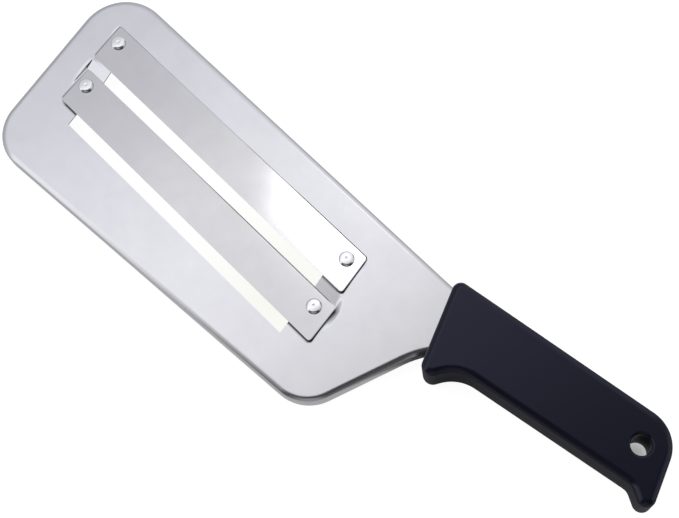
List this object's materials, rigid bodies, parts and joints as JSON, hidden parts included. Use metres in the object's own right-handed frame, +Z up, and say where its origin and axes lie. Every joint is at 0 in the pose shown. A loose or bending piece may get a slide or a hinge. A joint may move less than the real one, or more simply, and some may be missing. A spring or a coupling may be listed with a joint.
{
  "type": "cabbage cutter",
  "caption": "Hand cabbage cutter: a rimmed steel plate with slanted slots, riveted blades beside them and a canted moulded handle with a hang hole, for shredding cabbage.",
  "frame": {"origin": "middle of the hang hole, on the mid-plane of the plate and the handle", "axes": "+X along the blades towards the butt of the handle, +Y from the leading edge towards the spine, +Z up through the face that carries the blades"},
  "size_m": [0.3554, 0.1194, 0.024],
  "materials": {
    "plate_steel": "satin pressed stainless sheet",
    "blade_steel": "fine ground stainless strip",
    "rivet_steel": "bright formed heads",
    "handle_plastic": "fine moulded grain"
  },
  "bodies": {
    "root": {"plate": "plate_steel", "front_blade": "blade_steel", "rear_blade": "blade_steel", "front_toe_rivet": "rivet_steel", "front_heel_rivet": "rivet_steel", "rear_toe_rivet": "rivet_steel", "rear_heel_rivet": "rivet_steel", "handle": "handle_plastic"}
  },
  "joints": []
}
